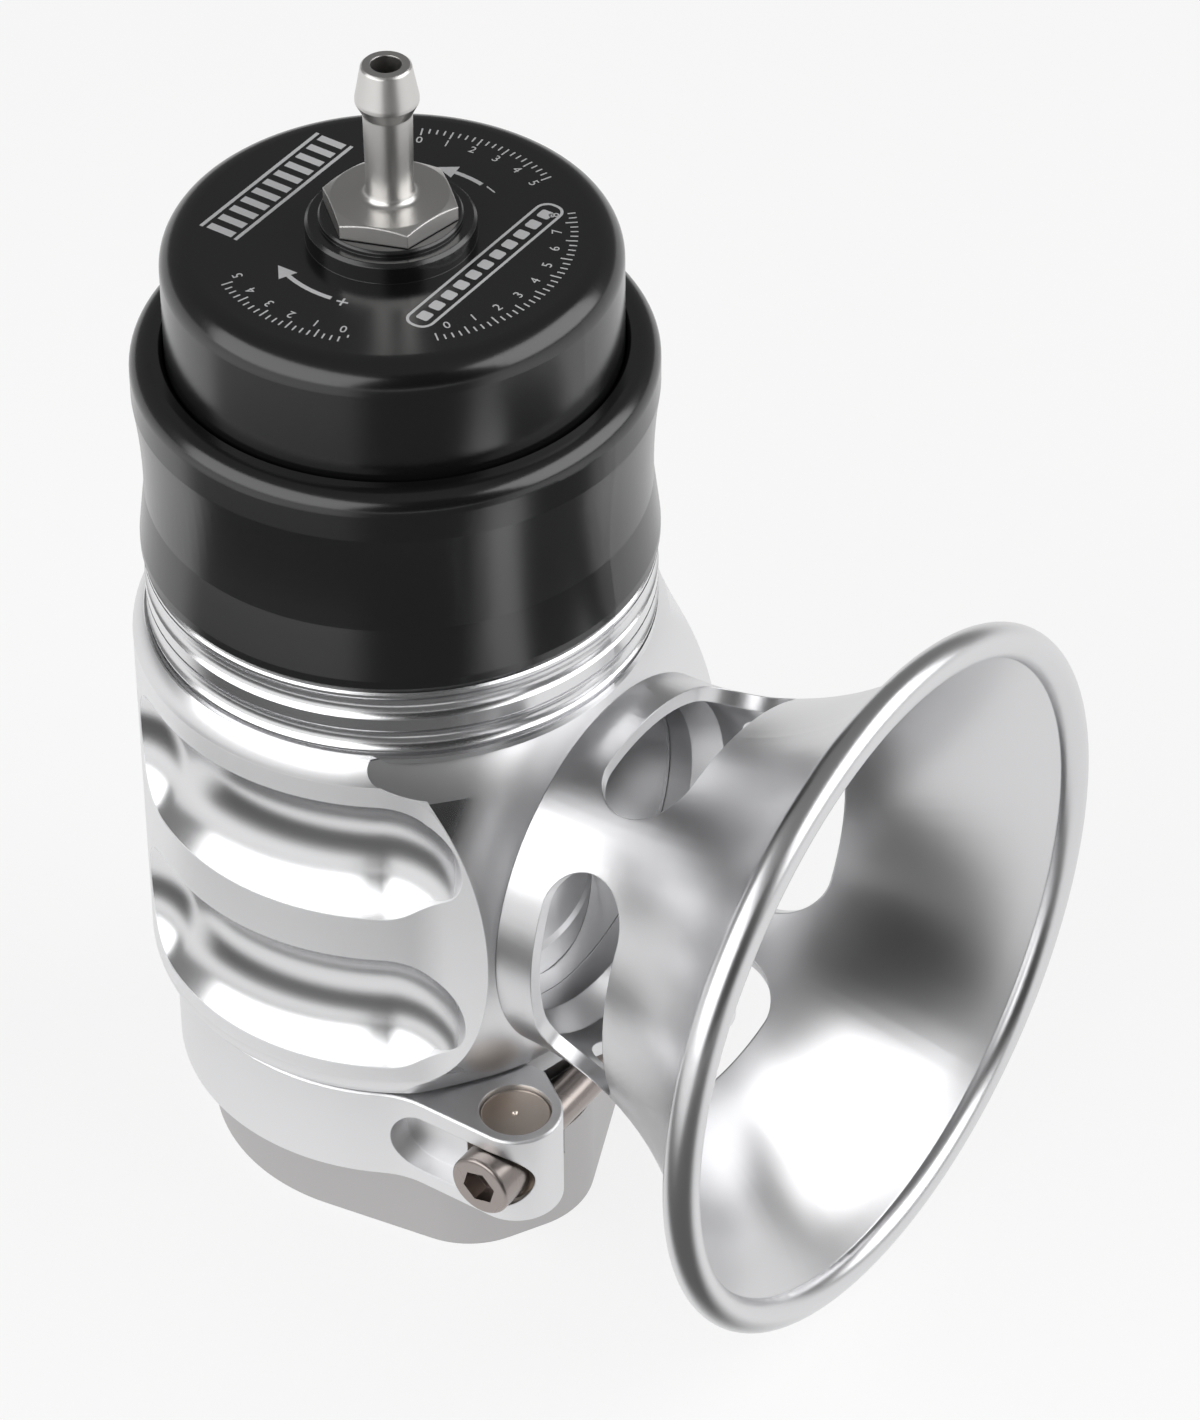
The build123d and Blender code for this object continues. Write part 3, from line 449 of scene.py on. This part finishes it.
def start_flat(name, width, depth, x, y):
    """A flat rectangle on the cap as a new piece, open in edit mode and selected all over."""
    bpy.ops.object.select_all(action="DESELECT")
    bpy.ops.mesh.primitive_plane_add(size=1.0, location=(0, 0, 0))
    piece = bpy.context.active_object
    piece.name = name
    bpy.ops.object.mode_set(mode="EDIT")
    bpy.ops.mesh.select_all(action="SELECT")
    bpy.ops.transform.resize(value=(width, depth, 1.0), center_override=(0, 0, 0))
    bpy.ops.transform.translate(value=(x, y, PRINT_Z))
    return piece


def pick(piece, kind, test):
    """Selects the vertices or edges whose middle passes a test, and nothing else."""
    bpy.ops.mesh.select_all(action="DESELECT")
    bpy.ops.mesh.select_mode(type={"verts": "VERT", "edges": "EDGE"}[kind])
    shape = bmesh.from_edit_mesh(piece.data)
    for item in getattr(shape, kind):
        middle = item.co if kind == "verts" else (item.verts[0].co + item.verts[1].co) / 2
        if test(middle):
            item.select_set(True)
    bmesh.update_edit_mesh(piece.data)


def swing(degrees):
    """Turns what is selected about the valve's axis."""
    bpy.ops.transform.rotate(value=-math.radians(degrees), orient_axis="Z", center_override=(0, 0, PRINT_Z))


def spin(degrees, steps, **how):
    """Spins what is selected about the valve's axis."""
    turn = -math.radians(degrees)
    bpy.ops.mesh.spin(steps=steps, angle=turn, center=(0, 0, PRINT_Z), axis=(0, 0, 1), **how)


def add_copies(step):
    """Repeats what is selected along the bar."""
    for _ in range(BAR_COPIES):
        bpy.ops.mesh.duplicate_move(TRANSFORM_OT_translate={"value": (0, step, 0)})


def raise_print(piece):
    """Gives the open flat piece the print's thickness."""
    bpy.ops.mesh.select_all(action="SELECT")
    bpy.ops.mesh.extrude_region_move(TRANSFORM_OT_translate={"value": (0, 0, PRINT_THICK)})
    bpy.ops.mesh.select_all(action="SELECT")
    bpy.ops.mesh.normals_make_consistent(inside=False)
    bpy.ops.object.mode_set(mode="OBJECT")
    return piece


def tick_row(name, length, radius, first, last, step):
    """Equal ticks along an arc: one is drawn, and spun into copies."""
    piece = start_flat(name, length, TICK_WIDTH, radius, 0.0)
    swing(first)
    count = round((last - first) / step)
    spin(count * step, count, dupli=True)
    return raise_print(piece)


def arc_line(name, width, radius, first, last):
    """A line bent along an arc: one short edge, spun into a strip."""
    piece = start_flat(name, width, 2 * STRIP_HALF, radius, 0.0)
    pick(piece, "verts", lambda middle: middle.y > 0)
    bpy.ops.mesh.delete(type="VERT")
    bpy.ops.mesh.select_all(action="SELECT")
    bpy.ops.transform.translate(value=(0, STRIP_HALF, 0))
    swing(first)
    spin(last - first, ARROW_STEPS)
    return raise_print(piece)


def arrow_head(name, radius, degrees, size, clockwise):
    """A triangle on an arc: a square whose one edge is drawn together."""
    piece = start_flat(name, size, size, radius, 0.0)
    end = -1 if clockwise else 1
    pick(piece, "edges", lambda middle: middle.y * end > size / 4)
    bpy.ops.mesh.merge(type="CENTER")
    bpy.ops.mesh.select_all(action="SELECT")
    swing(degrees)
    return raise_print(piece)


def stamp(text, radius, degrees, size, inward):
    """A printed number or sign at an angle, its head to the rim, or to the middle."""
    bpy.ops.object.select_all(action="DESELECT")
    bpy.ops.object.text_add(location=(0, 0, 0))
    piece = bpy.context.active_object
    piece.data.body = text
    piece.data.size = size
    piece.data.align_x = "CENTER"
    piece.data.align_y = "CENTER"
    piece.data.extrude = PRINT_THICK / 2
    piece.data.resolution_u = 4
    bpy.ops.object.convert(target="MESH")
    piece = bpy.context.active_object
    turn = math.radians(degrees)
    piece.location = (radius * math.cos(turn), radius * math.sin(turn), PRINT_Z + PRINT_THICK / 2)
    piece.rotation_euler = (0, 0, turn + math.radians(90 if inward else -90))
    bpy.ops.object.transform_apply()
    return piece


def join_print(name, pieces, material):
    """Joins marks to one piece that rides on the cap."""
    bpy.ops.object.select_all(action="DESELECT")
    for piece in pieces:
        piece.select_set(True)
    bpy.context.view_layer.objects.active = pieces[0]
    bpy.ops.object.join()
    piece = bpy.context.active_object
    piece.name = name
    coat(piece, material)
    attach(piece, "cap")


def stripe_bar():
    """A ladder of stripes between two equal lines."""
    lines = []
    for side in (-STRIPE_LINES, STRIPE_LINES):
        line = start_flat("stripe_line", width=0.55 * MM, depth=27.6 * MM, x=STRIPE_BAR_X + side, y=0.4 * MM)
        lines.append(raise_print(line))
    blocks = start_flat("stripe_blocks", width=4.3 * MM, depth=1.3 * MM, x=STRIPE_BAR_X, y=-12.6 * MM)
    add_copies(step=2.6 * MM)
    return [*lines, raise_print(blocks)]


def block_bar():
    """A rounded frame with a row of small blocks in it."""
    outline = start_flat("block_frame", width=4.3 * MM, depth=34.5 * MM, x=BLOCK_BAR_X, y=1.3 * MM)
    bpy.ops.mesh.bevel(offset=1.9 * MM, segments=6, affect="VERTICES")
    bpy.ops.mesh.select_all(action="SELECT")
    bpy.ops.mesh.inset(thickness=0.42 * MM)
    bpy.ops.mesh.delete(type="FACE")
    raise_print(outline)
    blocks = start_flat("frame_blocks", width=1.9 * MM, depth=1.9 * MM, x=BLOCK_BAR_X, y=-13.2 * MM)
    bpy.ops.mesh.bevel(offset=0.35 * MM, segments=3, affect="VERTICES")
    bpy.ops.mesh.select_all(action="SELECT")
    add_copies(step=2.9 * MM)
    return [outline, raise_print(blocks)]


# Studio


def white_floor(colour, glow):
    """A pale floor with the valve's shadow, lifted to white where the camera or a reflection sees it."""
    recipe = Recipe(bpy.data.materials.new("studio_floor"))
    seen = recipe.node("ShaderNodeLightPath", out="Is Camera Ray")
    shown = seen + seen.beside("Is Glossy Ray") + seen.beside("Is Transmission Ray")
    lifted = recipe.node("ShaderNodeEmission", inputs={"Color": (1.0, 1.0, 1.0), "Strength": 1.0})
    pale = recipe.surface(Base_Color=colour, Roughness=FLOOR_ROUGH)
    return recipe.done(recipe.either(shown.least(1.0) * glow, pale, lifted))


def studio_world(sweep, ceiling, front_dark):
    """A room that is white near the floor, dim overhead and dark towards the photographer."""
    recipe = Recipe(bpy.data.worlds.new("studio"))
    _, x, y, z = recipe.place("Generated")
    level = (x * x + y * y).root()
    ahead = (x * DARK_AHEAD[0] + y * DARK_AHEAD[1]) / level
    front = ahead.above(*DARK_SIDE) * (1.0 - z.above(*DARK_TOP))
    low = 1.0 - z.above(*SWEEP_TOP)
    light = (low * (sweep - ceiling) + ceiling) * (1.0 - front * front_dark)
    return recipe.done(recipe.node("ShaderNodeBackground", inputs={
        "Color": (1.0, 1.0, 1.0), "Strength": light}))


def soft_card():
    """Dark cloth that fades out towards the card's sides and its near edge."""
    recipe = Recipe(bpy.data.materials.new("dark_card"))
    _, x, y, _ = recipe.place()
    reach = (x * x + y * y).root()
    ahead = (x * TOWARDS_CAMERA[0] + y * TOWARDS_CAMERA[1]) / reach
    across = (y * TOWARDS_CAMERA[0] - x * TOWARDS_CAMERA[1]) / reach
    cover = ahead.above(*CARD_HIND) * (1.0 - across.above(*CARD_RIGHT)) * reach.above(*CARD_NEAR)
    left_end = reach.above(*CARD_LEFT_END) * (across * -1.0).above(*CARD_LEFT)
    cloth = recipe.surface(Base_Color=CARD_COLOUR, Roughness=1.0)
    clear = recipe.node("ShaderNodeBsdfTransparent")
    return recipe.done(recipe.either(cover * (1.0 - left_end), clear, cloth))


def add_soft_box(name, around, height, width, depth, brightness):
    """A lamp that faces the valve's middle, from an angle to the right of the camera and a height."""
    lamp = bpy.data.lights.new(name, "AREA")
    lamp.shape = "RECTANGLE"
    lamp.size = width
    lamp.size_y = depth
    lamp.energy = brightness * math.pi * width * depth
    box = bpy.data.objects.new(name, lamp)
    bpy.context.scene.collection.objects.link(box)
    turn = math.radians(CAMERA_TURN + around)
    up = math.radians(height)
    out = Vector((math.cos(turn) * math.cos(up), math.sin(turn) * math.cos(up), math.sin(up)))
    box.location = MIDDLE + out * LAMP_REACH
    box.rotation_euler = out.to_track_quat("Z", "Y").to_euler()


def add_floor(material):
    """The floor, well past the view on every side."""
    bpy.ops.object.select_all(action="DESELECT")
    bpy.ops.mesh.primitive_plane_add(size=FLOOR_SIZE, location=(0, 0, 0))
    floor = bpy.context.active_object
    floor.name = "studio_floor"
    coat(floor, material)


def add_dark_card():
    """A dark card on the floor before the valve, that only the metal's reflections show."""
    bpy.ops.object.select_all(action="DESELECT")
    bpy.ops.mesh.primitive_plane_add(size=1.0, location=(0, 0, 0))
    card = bpy.context.active_object
    card.name = "dark_card"
    ahead = Vector((*TOWARDS_CAMERA, 0.0))
    aside = Vector((-ahead.y, ahead.x, 0.0))
    corners = ((CARD_BACK, -CARD_FAR), (CARD_FAR, -CARD_FAR), (CARD_FAR, CARD_FAR), (CARD_BACK, CARD_FAR))
    for vertex, (out, across) in zip((0, 1, 3, 2), corners):
        card.data.vertices[vertex].co = ahead * out + aside * across + Vector((0, 0, CARD_Z))
    coat(card, soft_card())
    card.visible_camera = False
    card.visible_diffuse = False
    card.visible_shadow = False


def add_camera(lens):
    """The photograph's viewpoint."""
    view = bpy.data.cameras.new("photo_camera")
    view.lens = lens
    view.sensor_width = 36.0
    view.sensor_fit = "AUTO"
    view.clip_start = 0.05
    view.clip_end = 20.0
    camera = bpy.data.objects.new("photo_camera", view)
    bpy.context.scene.collection.objects.link(camera)
    forward = Vector(CAMERA_LOOK).normalized()
    right = forward.cross(Vector((0, 0, 1))).normalized()
    up = right.cross(forward)
    side = right * math.cos(CAMERA_ROLL) + up * math.sin(CAMERA_ROLL)
    top = up * math.cos(CAMERA_ROLL) - right * math.sin(CAMERA_ROLL)
    turn = Matrix((side, top, -forward)).transposed()
    camera.matrix_world = Matrix.Translation(CAMERA_AT) @ turn.to_4x4()
    return camera


# Settings


class ValveFinishSettings(bpy.types.PropertyGroup):
    """Colours and gloss of the valve's metals."""

    aluminium: bpy.props.FloatVectorProperty(
        name="Aluminium", description="Colour of the bright aluminium", subtype="COLOR", size=3,
        default=(0.76, 0.76, 0.77), min=0.0, max=1.0)
    satin_colour: bpy.props.FloatVectorProperty(
        name="Satin aluminium", description="Colour of the satin sides", subtype="COLOR", size=3,
        default=(0.80, 0.80, 0.81), min=0.0, max=1.0)
    foot_colour: bpy.props.FloatVectorProperty(
        name="Foot", description="Colour of the weld flange", subtype="COLOR", size=3,
        default=(0.50, 0.49, 0.49), min=0.0, max=1.0)
    anodised: bpy.props.FloatVectorProperty(
        name="Anodised", description="Colour of the black cap and collar", subtype="COLOR", size=3,
        default=(0.006, 0.006, 0.0065), min=0.0, max=1.0)
    steel: bpy.props.FloatVectorProperty(
        name="Steel", description="Colour of the barrel pins and the spring washer", subtype="COLOR", size=3,
        default=(0.64, 0.56, 0.49), min=0.0, max=1.0)
    ink: bpy.props.FloatVectorProperty(
        name="Print", description="Colour of the marks printed on the cap", subtype="COLOR", size=3,
        default=(0.60, 0.60, 0.61), min=0.0, max=1.0)
    satin: bpy.props.FloatProperty(
        name="Satin", description="Roughness of the milled sides", subtype="FACTOR", default=0.42,
        min=0.05, max=0.8)
    polished: bpy.props.FloatProperty(
        name="Polished", description="Roughness of the scoops and the neck", subtype="FACTOR", default=0.22,
        min=0.05, max=0.8)
    domed: bpy.props.FloatProperty(
        name="Dome", description="Roughness of the dome and the shoulder", subtype="FACTOR", default=0.34,
        min=0.05, max=0.8)
    trumpet: bpy.props.FloatProperty(
        name="Trumpet", description="Roughness of the spun trumpet", subtype="FACTOR", default=0.29,
        min=0.05, max=0.8)
    black: bpy.props.FloatProperty(
        name="Black", description="Roughness of the black cap", subtype="FACTOR", default=0.2,
        min=0.05, max=0.8)


class ValveStudioSettings(bpy.types.PropertyGroup):
    """Camera, lamps and floor."""

    lens: bpy.props.FloatProperty(
        name="Lens", description="Focal length on a 36 mm sensor", subtype="DISTANCE_CAMERA", default=151.2,
        min=20.0)
    lamps: bpy.props.FloatProperty(
        name="Lamps", description="Share of the soft boxes' full brightness", subtype="FACTOR", default=1.0,
        min=0.0)
    sweep: bpy.props.FloatProperty(
        name="Sweep", description="Brightness of the room near the floor", default=0.9, min=0.0)
    ceiling: bpy.props.FloatProperty(
        name="Ceiling", description="Brightness of the room overhead", default=0.2, min=0.0)
    front_dark: bpy.props.FloatProperty(
        name="Dark front", description="How much darker the room is towards the photographer",
        subtype="FACTOR", default=0.9, min=0.0, max=1.0)
    floor: bpy.props.FloatVectorProperty(
        name="Floor", description="Colour of the floor", subtype="COLOR", size=3,
        default=(0.92, 0.92, 0.92), min=0.0, max=1.0)
    floor_glow: bpy.props.FloatProperty(
        name="White floor", description="How far the floor is lifted to white", subtype="FACTOR",
        default=0.82, min=0.0, max=1.0)


# Steps


class VALVE_OT_finishes(bpy.types.Operator):
    """Gives every part of the valve its finish"""

    bl_idname = "valve.finishes"
    bl_label = "Finish the parts"

    def execute(self, context):
        look = context.scene.valve_finish
        satin_colour = tuple(look.satin_colour)
        steel = tuple(look.steel)
        coat("valve_body", bright_body(
            tuple(look.aluminium), satin_colour, look.satin, look.polished, look.domed))
        coat("clamp_collar", turned_metal("milled_ring", satin_colour, look.satin, fineness=RING_LINES))
        coat("weld_flange", turned_metal(
            "turned_foot", tuple(look.foot_colour), look.satin + FOOT_DULLER, fineness=RING_LINES))
        coat("trumpet", turned_metal(
            "spun_trumpet", HORN_COLOUR, look.trumpet, "X", (0, 0, OUTLET_Z), HORN_LINES))
        black = black_anodised(tuple(look.anodised), look.black)
        for node in ("cap_collar", "adjuster_cap"):
            coat(node, black)
        for node, side in (("clamp_pin_plain", -1), ("clamp_pin_threaded", 1)):
            coat(node, turned_metal(node + "_steel", steel, PIN_ROUGH, centre=(SCREW_X, side * PIN_Y, 0)))
        coat("clamp_screw", turned_metal("screw_steel", *SCREW, "X", (0, 0, SCREW_Z), edge=SCREW_EDGE))
        coat("hose_nipple", turned_metal("nipple_metal", *NIPPLE))
        coat("piston", turned_metal("piston_metal", *PISTON))
        coat("spring_washer", turned_metal("washer_steel", steel, WASHER_ROUGH))
        wire = plain("spring_wire", *WIRE, metal=1.0)
        rubber = plain("seal_rubber", *RUBBER)
        for node in SPRINGS:
            coat(node, wire)
        for node in SEALS:
            coat(node, rubber)
        coat("piston_wear_ring", plain("bearing_plastic", *BEARING))
        return {"FINISHED"}


class VALVE_OT_springs(bpy.types.Operator):
    """Cuts each spring in two, as a foot piece below the cut and a head piece above it"""

    bl_idname = "valve.springs"
    bl_label = "Free the springs"

    def execute(self, context):
        for node in SPRINGS:
            foot = spring_part(node, node + "_foot", below=True)
            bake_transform(foot)
            head = spring_part(node, node + "_head", below=False)
            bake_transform(head)
        return {"FINISHED"}


class VALVE_OT_cap_print(bpy.types.Operator):
    """Prints the scales, arrows and bars on the cap"""

    bl_idname = "valve.cap_print"
    bl_label = "Print the cap"

    def execute(self, context):
        ink = print_ink(tuple(context.scene.valve_finish.ink))
        ticks = []
        numbers = []
        for first, last, inward in TICK_SCALES:
            ticks.append(tick_row("fine_ticks", TICK_LENGTH, TICK_R, first, last, TICK_STEP))
            ticks.append(tick_row("long_ticks", TICK_EXTRA, TICK_R - TICK_EXTRA_IN, first, last, LONG_STEP))
            count = round((last - first) / LONG_STEP)
            for step in range(count + 1):
                value = count - step if inward else step
                numbers.append(stamp(str(value), NUMBER_R, last - step * LONG_STEP, NUMBER_SIZE, inward))
        join_print("cap_ticks", ticks, ink)
        join_print("cap_numbers", numbers, ink)
        arrows = []
        for tip, tail, sign in ARROWS:
            clockwise = tip < tail
            way = 1 if clockwise else -1
            arrows.append(arrow_head("arrow_head", ARROW_R, tip, ARROW_HEAD, clockwise))
            arrows.append(arc_line("arrow_line", ARROW_LINE, ARROW_R, tip + way * ARROW_NECK, tail))
            arrows.append(stamp(sign, ARROW_R, tail + way * SIGN_PAST, SIGN_SIZE, not clockwise))
        join_print("cap_arrows", arrows, ink)
        join_print("cap_stripe_bar", stripe_bar(), ink)
        join_print("cap_block_bar", block_bar(), ink)
        return {"FINISHED"}


class VALVE_OT_stage(bpy.types.Operator):
    """Makes the floor, the lamps and the camera"""

    bl_idname = "valve.stage"
    bl_label = "Set the studio"

    def execute(self, context):
        studio = context.scene.valve_studio
        add_floor(white_floor(tuple(studio.floor), studio.floor_glow))
        context.scene.world = studio_world(studio.sweep, studio.ceiling, studio.front_dark)
        for *box, brightness in SOFT_BOXES:
            add_soft_box(*box, brightness * studio.lamps)
        add_dark_card()
        context.scene.camera = add_camera(studio.lens)
        context.scene.view_settings.view_transform = "Standard"
        return {"FINISHED"}


class VALVE_PT_panel(bpy.types.Panel):
    """Lists the steps that dress the valve"""

    bl_label = "Blow off valve"
    bl_idname = "VALVE_PT_panel"
    bl_space_type = "VIEW_3D"
    bl_region_type = "UI"
    bl_category = "Valve"

    def draw(self, context):
        column = self.layout.column()
        for step in STEPS:
            column.operator(step.bl_idname)
        column.prop(context.scene.valve_finish, "satin")
        column.prop(context.scene.valve_studio, "lamps")


STEPS = (VALVE_OT_finishes, VALVE_OT_springs, VALVE_OT_cap_print, VALVE_OT_stage)
CLASSES = (ValveFinishSettings, ValveStudioSettings, *STEPS, VALVE_PT_panel)


def register():
    for item in CLASSES:
        bpy.utils.register_class(item)
    bpy.types.Scene.valve_finish = bpy.props.PointerProperty(type=ValveFinishSettings)
    bpy.types.Scene.valve_studio = bpy.props.PointerProperty(type=ValveStudioSettings)


def unregister():
    del bpy.types.Scene.valve_studio
    del bpy.types.Scene.valve_finish
    for item in reversed(CLASSES):
        bpy.utils.unregister_class(item)


def main():
    register()
    for step in STEPS:
        group, name = step.bl_idname.split(".")
        getattr(getattr(bpy.ops, group), name)()


if __name__ == "__main__":
    main()
